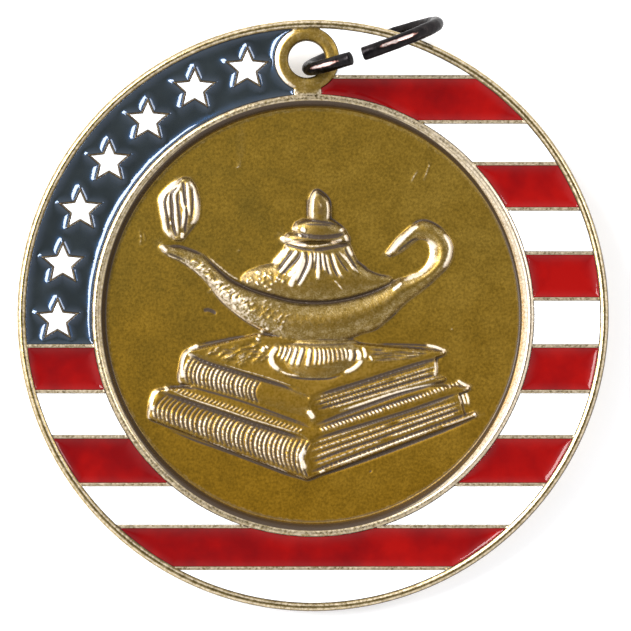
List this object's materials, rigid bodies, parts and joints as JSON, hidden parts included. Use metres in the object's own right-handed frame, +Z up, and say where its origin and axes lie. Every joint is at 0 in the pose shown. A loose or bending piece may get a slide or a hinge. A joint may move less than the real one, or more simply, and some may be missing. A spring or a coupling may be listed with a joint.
{
  "type": "academic medallion",
  "caption": "Round award medal with a lamp on two books in relief, a band of striped and starred enamel round it, and an open jump ring through the boss at the top.",
  "frame": {"origin": "on the surface that the medal lies on, under the middle of its bounding box", "axes": "+Z up from that surface, out of the front; +Y towards the hole at the top of the medal; +X to the right as the front is read"},
  "size_m": [0.0508, 0.0512, 0.0127],
  "materials": {
    "antique_gold": "antiqued, dark in the hollows and polished on the crests",
    "dark_bronze": "polished",
    "enamel_blue": "glossy",
    "enamel_red": "glossy",
    "enamel_white": "glossy"
  },
  "bodies": {
    "root": {"medal_body": "antique_gold", "jump_ring": "dark_bronze", "blue_enamel": "enamel_blue", "star_enamel_1": "enamel_white", "star_enamel_2": "enamel_white", "star_enamel_3": "enamel_white", "star_enamel_4": "enamel_white", "star_enamel_5": "enamel_white", "star_enamel_6": "enamel_white", "star_enamel_7": "enamel_white", "white_stripe_right_1": "enamel_white", "red_stripe_right_2": "enamel_red", "white_stripe_right_3": "enamel_white", "red_stripe_right_4": "enamel_red", "white_stripe_right_5": "enamel_white", "red_stripe_right_6": "enamel_red", "white_stripe_right_7": "enamel_white", "red_stripe_right_8": "enamel_red", "white_stripe_right_9": "enamel_white", "red_stripe_right_10": "enamel_red", "white_stripe_right_11": "enamel_white", "red_stripe_left_8": "enamel_red", "white_stripe_left_9": "enamel_white", "red_stripe_left_10": "enamel_red", "white_stripe_left_11": "enamel_white", "red_stripe_bottom_12": "enamel_red", "white_stripe_bottom_13": "enamel_white"}
  },
  "joints": []
}
